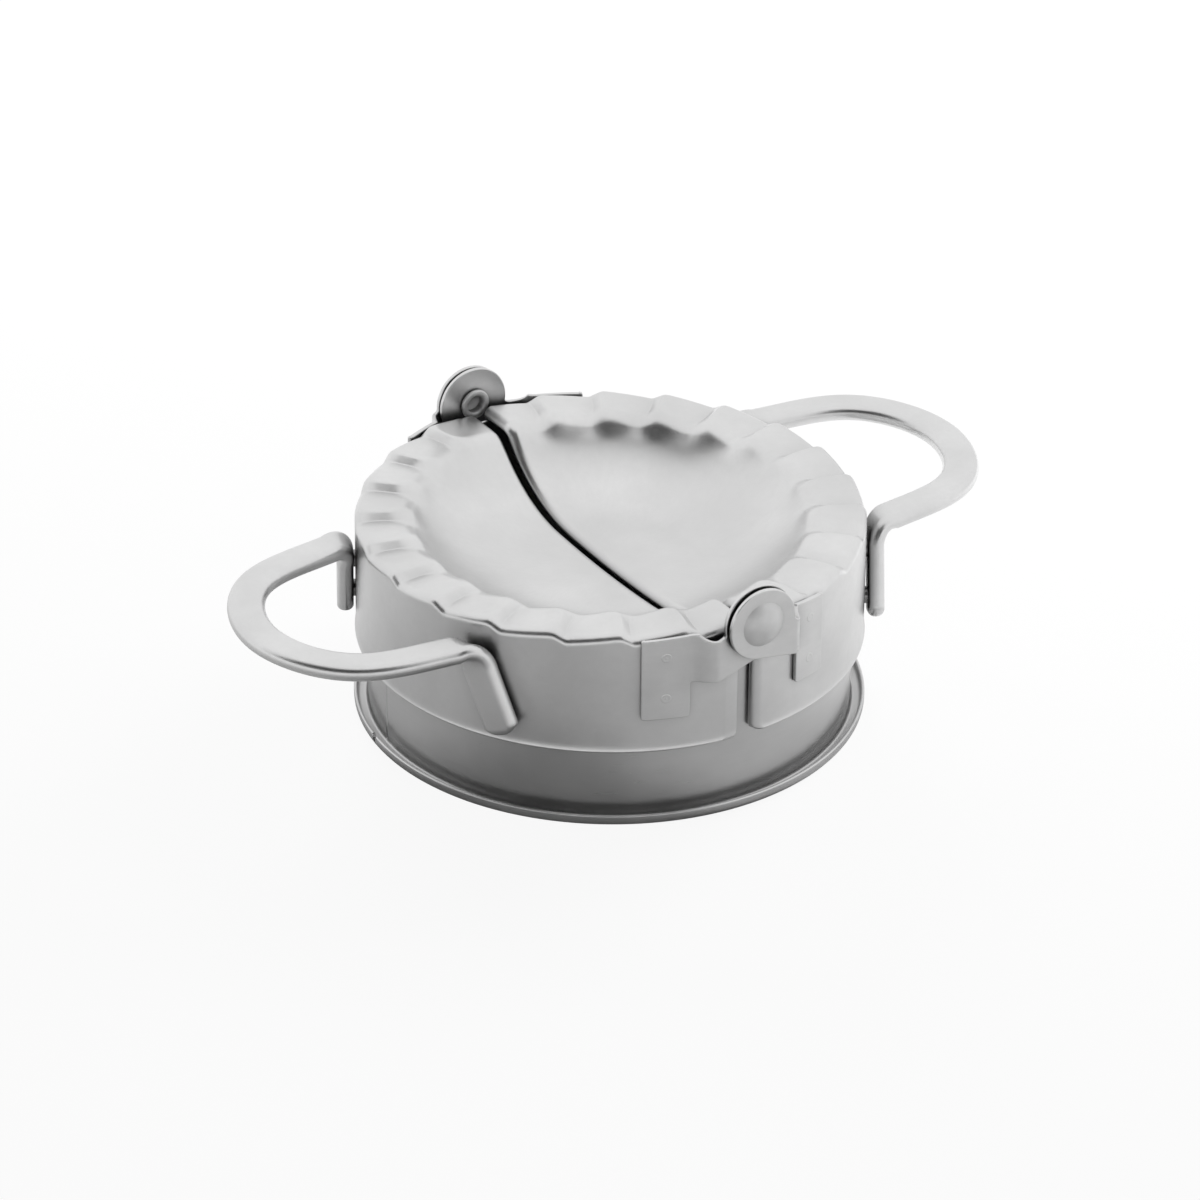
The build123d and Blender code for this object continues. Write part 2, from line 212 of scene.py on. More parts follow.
def buildMottleGroup():
    # slow cloudy change of tone, and the slight unevenness of pressed sheet
    dentFineness = 2.3  # dents are this many times smaller than clouds
    outputs = [("Cloud", "NodeSocketFloat"), ("Dents", "NodeSocketFloat")]
    group, entry, result = newGroup("sheetMottle", [("Size", "NodeSocketFloat", 90.0)], outputs)
    place = group.nodes.new("ShaderNodeTexCoord").outputs["Object"]
    size = entry.outputs["Size"]
    dentSize = mathNode(group, "MULTIPLY", size, dentFineness)
    group.links.new(noiseNode(group, place, size, detail=3.0), result.inputs["Cloud"])
    group.links.new(noiseNode(group, place, dentSize, detail=1.0), result.inputs["Dents"])
    return group


def buildPaintedShadeGroup():
    # mask of crevices that nearby metal shades, used to paint shade into the colour there
    inputs = [("Reach", "NodeSocketFloat", 0.004)]
    group, entry, result = newGroup("paintedCreviceShade", inputs, [("Mask", "NodeSocketFloat")])
    hidden = group.nodes.new("ShaderNodeAmbientOcclusion")
    hidden.samples = 8
    group.links.new(entry.outputs["Reach"], hidden.inputs["Distance"])
    group.links.new(mathNode(group, "SUBTRACT", 1.0, hidden.outputs["AO"]), result.inputs["Mask"])
    return group


paintedShadeGroup = buildPaintedShadeGroup()
aroundGroup = buildAroundGroup()
grainGroup = buildGrainGroup()
mottleGroup = buildMottleGroup()


def placeGroup(tree, group, **values):
    node = tree.nodes.new("ShaderNodeGroup")
    node.node_tree = group
    for label, value in values.items():
        node.inputs[label].default_value = value
    return node


def mixColour(tree, factor, first, second):
    node = tree.nodes.new("ShaderNodeMix")
    node.data_type = "RGBA"
    # this node's colours are its inputs 6 and 7 and its output 2
    for k, value in ((0, factor), (6, first), (7, second)):
        setSocket(tree, node.inputs[k], value)
    return node.outputs[2]


def grey(level):
    return (level, level, level, 1.0)


def newMaterial(name):
    material = bpy.data.materials.new(name)
    material.use_nodes = True
    return material, material.node_tree.nodes["Principled BSDF"]


def steelMaterial(name, look):
    # satin stainless sheet or bar: tone, gloss and brush lines all vary over the surface
    material, shader = newMaterial(name)
    tree = material.node_tree
    shader.inputs["Metallic"].default_value = 1.0
    shader.inputs["IOR"].default_value = 2.5
    if look["round"]:
        place = placeGroup(tree, aroundGroup).outputs["Place"]
    else:
        place = tree.nodes.new("ShaderNodeTexCoord").outputs["Object"]
    grain = placeGroup(tree, grainGroup, Stretch=look["stretch"])
    tree.links.new(place, grain.inputs["Place"])
    lines = grain.outputs["Lines"]
    mottle = placeGroup(tree, mottleGroup, Size=look["mottleSize"])
    cloudy = mixColour(tree, mottle.outputs["Cloud"], grey(look["dark"]), grey(look["light"]))
    lineShare = mathNode(tree, "MULTIPLY", lines, look["lineTone"])
    lined = mixColour(tree, lineShare, cloudy, grey(look["lineLevel"]))
    # painted shade: the colour darkens towards a near-black level in crevices and next to other parts, where
    # shade falls
    paintedCreviceShade = placeGroup(tree, paintedShadeGroup, Reach=look["paintedShadeReach"])
    paintedShadeShare = mathNode(tree, "MULTIPLY", paintedCreviceShade.outputs["Mask"], look["paintedShadeTone"])
    shaded = mixColour(tree, paintedShadeShare, lined, grey(look["paintedShadeLevel"]))
    tree.links.new(shaded, shader.inputs["Base Color"])
    leastRoughness = look["roughness"] - look["lineGloss"] / 2
    lineRoughness = mathNode(tree, "MULTIPLY_ADD", lines, look["lineGloss"], leastRoughness)
    roughness = mathNode(tree, "MULTIPLY_ADD", mottle.outputs["Cloud"], look["cloudGloss"], lineRoughness)
    tree.links.new(roughness, shader.inputs["Roughness"])
    relief = mathNode(tree, "MULTIPLY", lines, look["lineRelief"])
    wavy = mathNode(tree, "MULTIPLY", mottle.outputs["Dents"], look["dentRelief"])
    bump = tree.nodes.new("ShaderNodeBump")
    bump.inputs["Strength"].default_value = 1.0
    bump.inputs["Distance"].default_value = mm
    tree.links.new(mathNode(tree, "ADD", relief, wavy), bump.inputs["Height"])
    tree.links.new(bump.outputs["Normal"], shader.inputs["Normal"])
    return material


# levels from 0 to 1, relief in millimetres, reach in metres, stretch and mottle size in cells per metre
baseLook = {
    "round": True, "stretch": (60.0, 1500.0, 1500.0), "mottleSize": 60.0, "dark": 0.58, "light": 0.86,
    "lineTone": 0.40, "lineLevel": 0.62, "roughness": 0.29, "lineGloss": 0.12, "cloudGloss": 0.08,
    "lineRelief": 0.003, "dentRelief": 0.012, "paintedShadeReach": 0.004, "paintedShadeTone": 0.6,
    "paintedShadeLevel": 0.03,
}
pressedSteel = steelMaterial("pressedSteel", baseLook | {"stretch": (700.0, 700.0, 700.0)})
bandSteel = steelMaterial("bandSteel", baseLook | {
    "dark": 0.50, "light": 0.76, "lineLevel": 0.58, "roughness": 0.26, "paintedShadeTone": 0.3})
barSteel = steelMaterial("barSteel", baseLook | {
    "round": False, "stretch": (900.0, 900.0, 1600.0), "roughness": 0.27, "lineRelief": 0.0015,
    "dentRelief": 0.004})
hingeSteel = steelMaterial("hingeSteel", baseLook | {
    "round": False, "stretch": (160.0, 160.0, 1400.0), "mottleSize": 140.0, "paintedShadeTone": 1.0})
rivetSteel = steelMaterial("rivetSteel", baseLook | {
    "round": False, "stretch": (900.0, 900.0, 900.0), "mottleSize": 200.0, "roughness": 0.52})
weldSteel = steelMaterial("weldSteel", baseLook | {
    "round": False, "stretch": (900.0, 900.0, 900.0), "mottleSize": 300.0, "dark": 0.36, "light": 0.50})
print("materials made")


# half dies

# lengths in millimetres, turns in degrees apart from flatTurn, and rows, columns and steps of the mesh
die = {
    "skirtRadius": 44.0, "footZ": 14.2, "sealingZ": 36.35, "sheet": 0.7, "shoulderRadius": 1.4,
    "dishRadius": 220.0, "dishSpread": 4.0, "wallRadius": 26.0, "wallSlope": 50.0, "crestRadius": 4.0,
    "pleats": 24, "lipPleat": 0.58, "crestPleat": 0.6, "pleatStart": 31.6, "pleatFull": 34.8,
    "pleatFade": 6.0, "footPhase": 2.1, "sharpStep": 2.0, "softStep": 5.7, "sharpTop": 0.45,
    "softTop": 1.1, "sharpFoot": 0.14, "softFoot": 0.8, "softRadius": 34.0, "sharpRadius": 38.5,
    "lipSoftening": 0.3, "lipBefore": 1.6, "lipAfter": 1.0,
    "flare": 0.35, "flareHeight": 1.4, "cornerRadius": 0.7, "edgeSteps": 5,
    "topEdge": 0.56, "plainSkirtEdge": 2.4, "rolledSkirtEdge": 0.4, "edgeChange": 1.5,
    "rollLength": 2.2, "rollTurn": 78.0, "flatTurn": 0.03,
    "floorRows": 24, "floorHalf": 8.0, "wallRows": 26, "crestRows": 14, "ringRows": 14,
    "shoulderRows": 12, "skirtRows": 26, "rampColumns": 13, "stepColumns": 14, "rollColumns": 7,
    "endSpan": 9.0, "endColumns": 16,
}


def pleatWave(angles, sharp):
    # +1 on top of a step and -1 at its foot, with a long ramp up to the next step
    span = die["softStep"] + (die["sharpStep"] - die["softStep"]) * sharp
    topRounding = die["softTop"] + (die["sharpTop"] - die["softTop"]) * sharp
    footRounding = die["softFoot"] + (die["sharpFoot"] - die["softFoot"]) * sharp
    pitch = 360 / die["pleats"]
    rampSpan = pitch - span
    along = np.mod(angles - die["footPhase"] - (span - die["sharpStep"]) / 2, pitch)
    ramp = -1 + 2 * along / rampSpan
    step = 1 - 2 * (along - rampSpan) / span
    peak = smoothMin(ramp, step, topRounding)
    stepBefore = -1 - 2 * along / span
    rampAfter = -1 + 2 * (along - pitch) / rampSpan
    return -smoothMin(-peak, -np.maximum(stepBefore, rampAfter), footRounding)


def pleatSharpness(radius):
    # creases are soft at the dish, sharp on the ring and softer again at the lip
    rise = smoothStep((radius - die["softRadius"]) / (die["sharpRadius"] - die["softRadius"]))
    ringEnd = die["skirtRadius"] - die["shoulderRadius"]
    fall = smoothStep((radius - ringEnd + die["lipBefore"]) / (die["shoulderRadius"] + die["lipAfter"]))
    return float(rise * (1 - die["lipSoftening"] * fall))


def crestLift(radius):
    # pleat height on the wall and the crest, where the pleats begin
    return die["crestPleat"] * smoothStep((radius - die["pleatStart"]) / (die["pleatFull"] - die["pleatStart"]))


def dieRows():
    # radius, height, normal, pleat height and share of skirt, from the edge of the floor to the skirt foot
    spreadTurn = math.radians(die["dishSpread"])
    wallTurn = math.radians(die["wallSlope"])
    floorRadius = die["dishRadius"] * math.sin(spreadTurn)
    crestStartZ = die["sealingZ"] - die["crestRadius"] * (1 - math.cos(wallTurn))
    floorTopZ = crestStartZ - die["wallRadius"] * (math.cos(spreadTurn) - math.cos(wallTurn))
    wallEnd = floorRadius + die["wallRadius"] * (math.sin(wallTurn) - math.sin(spreadTurn))
    ringStart = wallEnd + die["crestRadius"] * math.sin(wallTurn)
    ringEnd = die["skirtRadius"] - die["shoulderRadius"]
    rows = []
    for k in range(die["wallRows"]):
        turn = spreadTurn + (wallTurn - spreadTurn) * k / die["wallRows"]
        radius = floorRadius + die["wallRadius"] * (math.sin(turn) - math.sin(spreadTurn))
        height = floorTopZ + die["wallRadius"] * (math.cos(spreadTurn) - math.cos(turn))
        rows.append((radius, height, -math.sin(turn), math.cos(turn), crestLift(radius), 0.0))
    for k in range(die["crestRows"]):
        turn = wallTurn * (1 - k / die["crestRows"])
        radius = wallEnd + die["crestRadius"] * (math.sin(wallTurn) - math.sin(turn))
        height = crestStartZ + die["crestRadius"] * (math.cos(turn) - math.cos(wallTurn))
        rows.append((radius, height, -math.sin(turn), math.cos(turn), crestLift(radius), 0.0))
    for k in range(die["ringRows"]):
        share = k / die["ringRows"]
        lift = die["crestPleat"] + (die["lipPleat"] - die["crestPleat"]) * share
        rows.append((ringStart + (ringEnd - ringStart) * share, die["sealingZ"], 0.0, 1.0, lift, 0.0))
    # the share of skirt grows to a half over the shoulder, and the rest below it
    for k in range(die["shoulderRows"]):
        share = k / die["shoulderRows"]
        turn = math.pi / 2 * share
        radius = ringEnd + die["shoulderRadius"] * math.sin(turn)
        height = die["sealingZ"] - die["shoulderRadius"] * (1 - math.cos(turn))
        rows.append((radius, height, math.sin(turn), math.cos(turn), die["lipPleat"], smoothStep(share / 2)))
    shoulderFoot = die["sealingZ"] - die["shoulderRadius"]
    for height in spread(shoulderFoot, die["footZ"] + die["sheet"] / 2, die["skirtRows"]):
        drop = shoulderFoot - height
        low = max(0.0, 1 - (height - die["footZ"]) / die["flareHeight"])
        lift = die["lipPleat"] * (1 - smoothStep(drop / die["pleatFade"]))
        share = smoothStep(0.5 + 0.5 * drop / die["edgeChange"])
        rows.append((die["skirtRadius"] + die["flare"] * low * low, height, 1.0, 0.0, lift, share))
    return rows


def rollAt(share, plain):
    # turn and radius of the rolled split edge; the plain end of the skirt has almost none
    turn = math.radians(die["rollTurn"])
    if plain:
        turn = turn * (1 - share) + die["flatTurn"] * share
    return turn, die["rollLength"] / turn


def edgeLine(height, share, plain):
    # distance from the hinge line at which the sheet starts to roll in
    skirtEdge = die["plainSkirtEdge"] if plain else die["rolledSkirtEdge"]
    turn, radius = rollAt(share, plain)
    distance = die["topEdge"] + (skirtEdge - die["topEdge"]) * share
    distance += die["sheet"] / 2 * math.cos(turn) + radius * math.sin(turn)
    rise = height - die["footZ"] - die["sheet"] / 2
    if share and rise < die["cornerRadius"]:
        drop = die["cornerRadius"] - rise
        distance += die["cornerRadius"] - math.sqrt(max(0.0, die["cornerRadius"] ** 2 - drop ** 2))
    return distance


def columnAngles():
    # crowded round each step, away from the split
    pitch = 360 / die["pleats"]
    stepStart = pitch - die["sharpStep"]
    offsets = spread(0, stepStart, die["rampColumns"])[:-1]
    offsets += [stepStart + die["sharpStep"] * k / die["stepColumns"] for k in range(die["stepColumns"])]
    angles = []
    foot = 90.0 + die["footPhase"] - pitch
    while foot < 270:
        angles += [foot + offset for offset in offsets]
        foot += pitch
    return [angle for angle in angles if 90 + die["endSpan"] < angle < 270 - die["endSpan"]]


def dieSkin(depth):
    # one skin of a left half die up to the start of its rolled edge, the given depth under the outer one
    inside = columnAngles()
    rows = dieRows()
    skin = []
    for radius, height, normalOut, normalUp, lift, share in rows:
        skinRadius = radius - depth * normalOut
        rear = 90 + math.degrees(math.asin(edgeLine(height, share, False) / skinRadius))
        front = 270 - math.degrees(math.asin(edgeLine(height, share, True) / skinRadius))
        count = die["endColumns"]
        start = [rear + (inside[0] - rear) * k / count for k in range(count)]
        end = [inside[-1] + (front - inside[-1]) * k / count for k in range(1, count + 1)]
        angles = np.array(start + inside + end)
        turns = np.radians(angles)
        up = height - depth * normalUp + lift * pleatWave(angles, pleatSharpness(radius))
        skin.append(np.stack([skinRadius * np.cos(turns), skinRadius * np.sin(turns), up], axis=1))
    # the floor is ruled from the middle of the split edge out to the wall
    floorLow = rows[0][1] - die["dishRadius"] * (1 - math.cos(math.radians(die["dishSpread"])))
    ball = die["dishRadius"] + depth
    count = len(skin[0])
    splitX = -edgeLine(floorLow, 0, False)
    middle = np.column_stack([np.full(count, splitX), np.linspace(die["floorHalf"], -die["floorHalf"], count)])
    floor = []
    for k in range(die["floorRows"]):
        plan = middle + (skin[0][:, :2] - middle) * k / die["floorRows"]
        reach = np.hypot(plan[:, 0], plan[:, 1])
        floor.append(np.column_stack([plan, floorLow - depth + ball - np.sqrt(ball ** 2 - reach ** 2)]))
    return floor + skin


def addRoll(outer, inner, splitLine, shares):
    # rolls both skins in along the split; returns the new rows of vertices
    across = Vector((1, 0, 0))
    rows = []
    for step in range(1, die["rollColumns"] + 1):
        row = []
        for vertex, (share, plain) in zip(splitLine, shares):
            top = Vector(outer[vertex])
            normal = top - Vector(inner[vertex])
            turn, radius = rollAt(share, plain)
            small = radius - normal.length
            normal.normalize()
            along = turn * step / die["rollColumns"]
            outerDrop = radius * (1 - math.cos(along))
            innerDrop = radius - small * math.cos(along)
            inner.append(tuple(top + across * small * math.sin(along) - normal * innerDrop))
            row += addRow(outer, [tuple(top + across * radius * math.sin(along) - normal * outerDrop)])
        rows.append(row)
    return rows


def buildDie(name, body, node, turned):
    grids = [dieSkin(depth) for depth in (0.0, die["sheet"])]
    outer, inner = [[tuple(point) for row in grid for point in row] for grid in grids]
    columns = len(grids[0][0])
    index = [[row * columns + column for column in range(columns)] for row in range(len(grids[0]))]
    # the split line runs from the front skirt foot over the dish to the rear skirt foot
    splitLine = [row[-1] for row in reversed(index[1:])] + index[0][::-1] + [row[0] for row in index[1:]]
    rowShares = [0.0] * (die["floorRows"] - 1) + [share for *rest, share in dieRows()]
    shares = [(share, True) for share in reversed(rowShares)] + [(0.0, False)] * columns
    shares += [(share, False) for share in rowShares]
    strips = [splitLine] + addRoll(outer, inner, splitLine, shares)
    frontEnd = [strip[0] for strip in strips[:-1]]
    rearEnd = [strip[-1] for strip in reversed(strips[:-1])]
    border = index[-1][1:-1] + frontEnd + strips[-1] + rearEnd
    faces = bridgeRows(index) + bridgeRows(strips)
    points, faces = closeSheet(outer, inner, faces, border, die["edgeSteps"])
    if turned:
        points = halfTurn(points)
    addPiece(name, points, faces, body, [node], pressedSteel)


buildDie("leftDieShell", "left_half", "left_die", False)
buildDie("rightDieShell", "right_half", "right_die", True)
print("half dies built")


# dough cutter

cutter = {
    "wallRadius": 42.0, "sheet": 0.6, "topZ": 34.87, "rimRadius": 44.5, "rimHeight": 2.2, "bendRadius": 0.9,
    "seamAngle": 172.0, "seamWidth": 0.35, "seamDepth": 0.16, "lipSheets": 1.2,
    "notchWidth": 1.2, "notchDepth": 1.1, "notchEase": 0.2,
    "bendSteps": 8, "wallSteps": 24, "edgeSteps": 6, "segments": 288, "fineSteps": 25,
}


def arcLine(centre, radius, start, end, steps):
    # points of a flat arc from one angle in degrees to another
    turns = [math.radians(start + (end - start) * k / steps) for k in range(steps + 1)]
    return [(centre[0] + radius * math.cos(turn), centre[1] + radius * math.sin(turn)) for turn in turns]


def cutterProfile():
    # middle line of the band from its top edge, down the wall and round the open rim
    half = cutter["sheet"] / 2
    wall = cutter["wallRadius"] - half
    lip = cutter["rimRadius"] - half
    bend = cutter["bendRadius"]
    top = cutter["topZ"] - half
    line = []
    for k in range(cutter["wallSteps"] + 1):
        line.append((wall, top + (half + bend - top) * k / cutter["wallSteps"]))
    line += arcLine((wall + bend, half + bend), bend, 180, 270, cutter["bendSteps"])[1:]
    line += arcLine((lip - bend, half + bend), bend, 270, 360, cutter["bendSteps"])
    line.append((lip, cutter["rimHeight"] - half))
    return line


def capEnd(point, normal, half, steps):
    # half circle round the end of a sheet, from the side of the normal to the other
    ahead = (-normal[1], normal[0])
    cap = []
    for k in range(1, steps):
        turn = math.pi * k / steps
        across = half * math.cos(turn)
        along = half * math.sin(turn)
        cap.append((point[0] + normal[0] * across + ahead[0] * along,
                    point[1] + normal[1] * across + ahead[1] * along))
    return cap


def thickenLine(line, thickness, edgeSteps):
    # closed section of a sheet along a middle line, with both ends round
    half = thickness / 2
    normals = []
    for k in range(len(line)):
        before = line[max(k - 1, 0)]
        after = line[min(k + 1, len(line) - 1)]
        length = math.hypot(after[0] - before[0], after[1] - before[1])
        normals.append(((after[1] - before[1]) / length, (before[0] - after[0]) / length))
    backNormals = [(-x, -y) for x, y in normals]
    front = [(p[0] + n[0] * half, p[1] + n[1] * half) for p, n in zip(line, normals)]
    back = [(p[0] + n[0] * half, p[1] + n[1] * half) for p, n in zip(line, backNormals)]
    front += capEnd(line[-1], normals[-1], half, edgeSteps)
    return front + back[::-1] + capEnd(line[0], backNormals[0], half, edgeSteps)


def cutterAngles():
    # even round the ring and fine across the seam, over twice the width of its notch
    fineSpan = math.degrees(2 * cutter["notchWidth"] / cutter["wallRadius"])
    low = cutter["seamAngle"] - fineSpan / 2
    fine = [low + fineSpan * k / cutter["fineSteps"] for k in range(cutter["fineSteps"] + 1)]
    rest = 360 - fineSpan
    return fine + [low + fineSpan + rest * k / cutter["segments"] for k in range(1, cutter["segments"])]


def buildCutter():
    section = thickenLine(cutterProfile(), cutter["sheet"], cutter["edgeSteps"])
    lipInside = cutter["rimRadius"] - cutter["lipSheets"] * cutter["sheet"]
    points = []
    rings = []
    for angle in cutterAngles():
        turn = math.radians(angle)
        offSeam = math.radians(angle - cutter["seamAngle"]) * cutter["wallRadius"]
        groove = cutter["seamDepth"] * math.exp(-(2 * offSeam / cutter["seamWidth"]) ** 2)
        notch = smoothStep((cutter["notchWidth"] / 2 - abs(offSeam)) / cutter["notchEase"] + 0.5)
        ring = []
        for radius, height in section:
            isOutside = abs(radius - cutter["wallRadius"]) < cutter["sheet"] / 4
            if isOutside and height > cutter["bendRadius"]:
                radius -= groove
            if radius > lipInside:
                height = min(height, cutter["rimHeight"] - cutter["notchDepth"] * notch)
            ring.append((radius * math.cos(turn), radius * math.sin(turn), height))
        rings.append(addRow(points, ring))
    faces = bridgeRows(rings + rings[:1], closed=True)
    addPiece("cutterBand", points, faces, "cutter", ["cutter_ring"], bandSteel)


buildCutter()
print("cutter built")


# loop handles

handle = {
    "width": 6.4, "thickness": 2.9, "edgeRadius": 1.42, "topZ": 33.5, "reach": 72.2, "kneeX": 60.9,
    "kneeY": 16.4, "slope": 9.0, "legAzimuth": 29.5, "legGap": 0.3, "cornerShift": -1.8, "splay": 22.0,
    "legBottomZ": 16.9, "elbow": 3.3, "tipRadius": 4.0, "tipMargin": 0.2, "tipEndWidth": 0.02,
    "armSteps": 44, "elbowSteps": 12, "legSteps": 18, "tipSteps": 10, "cornerSteps": 6,
}


def legPoint(height):
    # middle of the leg at a height, and the way out from the skirt there
    azimuth = math.radians(handle["legAzimuth"])
    outward = Vector((-math.cos(azimuth), math.sin(azimuth), 0))
    sideways = Vector((math.sin(azimuth), math.cos(azimuth), 0))
    distance = die["skirtRadius"] + handle["legGap"] + handle["thickness"] / 2
    drop = handle["topZ"] - handle["thickness"] / 2 - height
    shift = handle["cornerShift"] + drop * math.tan(math.radians(handle["splay"]))
    point = outward * distance + sideways * shift
    return Vector((point.x, point.y, height)), outward


def hermite(first, second, startSpeed, endSpeed, length, share):
    # smooth path between two places that has the given speeds at its ends
    square = share * share
    cube = square * share
    return (first * (2 * cube - 3 * square + 1) + startSpeed * length * (cube - 2 * square + share)
            + second * (3 * square - 2 * cube) + endSpeed * length * (cube - square))


def handleStations():
    # middle points and top directions of half a handle, from the loop end to the leg tip
    level = handle["topZ"] - handle["thickness"] / 2
    slope = math.radians(handle["slope"])
    heading = Vector((math.cos(slope), math.sin(slope), 0))
    tip = Vector((handle["width"] / 2 - handle["reach"], 0, level))
    knee = Vector((-handle["kneeX"], handle["kneeY"], level))
    corner, outward = legPoint(level)
    legTop = legPoint(level - handle["elbow"])[0]
    legEnd = legPoint(handle["legBottomZ"])[0]
    armEnd = corner - heading * handle["elbow"]
    firstSpan = (knee - tip).length
    secondSpan = (armEnd - knee).length
    tipHeading = Vector((0, 1, 0))
    kneeSpeed = (3 * (firstSpan * (armEnd - knee) / secondSpan + secondSpan * (knee - tip) / firstSpan)
                 - secondSpan * tipHeading - firstSpan * heading) / (2 * (firstSpan + secondSpan))
    upward = Vector((0, 0, 1))
    half = handle["armSteps"] // 2
    stations = []
    for k in range(half):
        stations.append((hermite(tip, knee, tipHeading, kneeSpeed, firstSpan, k / half), upward))
    for k in range(half):
        stations.append((hermite(knee, armEnd, kneeSpeed, heading, secondSpan, k / half), upward))
    for k in range(handle["elbowSteps"]):
        share = k / handle["elbowSteps"]
        point = armEnd * (1 - share) ** 2 + corner * 2 * share * (1 - share) + legTop * share ** 2
        turn = math.pi / 2 * share
        stations.append((point, upward * math.cos(turn) - outward * math.sin(turn)))
    for k in range(handle["legSteps"] + 1):
        stations.append((legTop.lerp(legEnd, k / handle["legSteps"]), -outward))
    return stations


def barSection(halfWidth, halfThickness):
    # rounded flat bar, as points across and up
    radius = min(handle["edgeRadius"], halfWidth, halfThickness)
    points = []
    for start, x, y in ((0, 1, 1), (90, -1, 1), (180, -1, -1), (270, 1, -1)):
        centre = (x * (halfWidth - radius), y * (halfThickness - radius))
        points += arcLine(centre, radius, start, start + 90, handle["cornerSteps"])
    return points


def buildHandle(name, body, node, turned):
    stations = handleStations()
    legEnd, legUp = stations[-1]
    downward = (legEnd - stations[-1 - handle["legSteps"]][0]).normalized()
    halfWidth = handle["width"] / 2
    halfThickness = handle["thickness"] / 2
    tipLength = handle["tipRadius"] - math.sqrt(handle["tipRadius"] ** 2 - halfWidth ** 2)
    # the last stretch of the leg is made anew so that the tip is an even arc
    half = [(point, up, halfWidth, halfThickness) for point, up in stations
            if (point - legEnd).length > tipLength + handle["tipMargin"]]
    for left in reversed(spread(0.0, tipLength, handle["tipSteps"])):
        width = math.sqrt(max(0.0, 2 * handle["tipRadius"] * left - left ** 2))
        cut = handle["edgeRadius"] - min(handle["edgeRadius"], left)
        thickness = halfThickness - handle["edgeRadius"] + math.sqrt(handle["edgeRadius"] ** 2 - cut ** 2)
        half.append((legEnd - downward * left, legUp, max(width, handle["tipEndWidth"]), thickness))
    mirrored = [(Vector((p.x, -p.y, p.z)), Vector((up.x, -up.y, up.z)), w, t) for p, up, w, t in half[1:]]
    line = mirrored[::-1] + half
    points = []
    rings = []
    for k, (point, up, width, thickness) in enumerate(line):
        before = line[max(k - 1, 0)][0]
        after = line[min(k + 1, len(line) - 1)][0]
        heading = (after - before).normalized()
        across = heading.cross(up).normalized()
        square = across.cross(heading).normalized()
        section = barSection(width, thickness)
        rings.append(addRow(points, [tuple(point + across * x + square * y) for x, y in section]))
    faces = bridgeRows(rings, closed=True) + [tuple(rings[0]), tuple(reversed(rings[-1]))]
    if turned:
        points = halfTurn(points)
    addPiece(name, points, faces, body, [node], barSteel)


buildHandle("leftHandleBar", "left_half", "left_handle", False)
buildHandle("rightHandleBar", "right_half", "right_handle", True)
for nodeName in ("left_handle_welds", "right_handle_welds"):
    for materialSlot in frame["nodes"][nodeName].material_slots:
        materialSlot.link = "OBJECT"
        materialSlot.material = weldSteel
        print(nodeName, "given the weld steel")
print("handles built")


# hinge leaves, each a flat plate in side view that is bent round the skirt

leaf = {
    "sheet": 0.8, "clearance": 0.02, "edgeRadius": 0.16, "topDrop": 0.5, "innerEarY": 45.05, "earGap": 0.6,
    "cornerRadius": 0.6, "topCornerRadius": 0.4, "armCornerRadius": 0.3, "holeRadius": 2.2,
    "edgeSteps": 3, "arcSteps": 8, "neckSteps": 24, "earStart": 2.0, "earSteps": 72, "holeSteps": 32,
    "sliceStep": 0.3, "levelStep": 0.45, "cutReach": 1e-5, "mergeReach": 1e-4,
}
innerLeaf = {"earRadius": 6.6, "farX": 19.5, "nearX": 11.7, "armX": 7.6, "height": 15.6, "armHeight": 9.0,
             "neckX": 8.1, "neckRadius": 2.6, "neckDepth": 1.3}
outerLeaf = {"earRadius": 6.4, "farX": 15.4, "nearX": 9.0, "armX": 6.9, "height": 15.3, "armHeight": 7.2,
             "neckX": 7.6, "neckRadius": 1.3, "neckDepth": 0.7}
innerLeaf["earY"] = leaf["innerEarY"]
outerLeaf["earY"] = leaf["innerEarY"] + leaf["sheet"] + leaf["earGap"]
# the ring and the edge are shares of the radius, and the floor is a share of the relief
weldSpot = {
    "radius": 0.95, "depth": 3.8, "spacing": 7.8, "relief": 0.04, "floor": 0.25, "peakSlope": 4.0,
    "ringStart": 0.45, "ringSpan": 0.5, "edgeStart": 0.875, "rings": 12,
}


def roundCorners(corners, steps):
    # outline through corners (x, z, radius), with an arc at each corner that has a radius
    outline = []
    for k, (x, z, radius) in enumerate(corners):
        here = Vector((x, z))
        if not radius:
            outline.append(here)
            continue
        toBefore = (Vector(corners[k - 1][:2]) - here).normalized()
        toAfter = (Vector(corners[(k + 1) % len(corners)][:2]) - here).normalized()
        halfAngle = toBefore.angle(toAfter) / 2
        cut = radius / math.tan(halfAngle)
        centre = here + (toBefore + toAfter).normalized() * radius / math.sin(halfAngle)
        start = here + toBefore * cut - centre
        end = here + toAfter * cut - centre
        sweep = start.angle_signed(end)
        first = math.atan2(start.y, start.x)
        for step in range(steps + 1):
            turn = first - sweep * step / steps
            outline.append(centre + Vector((math.cos(turn), math.sin(turn))) * radius)
    return outline


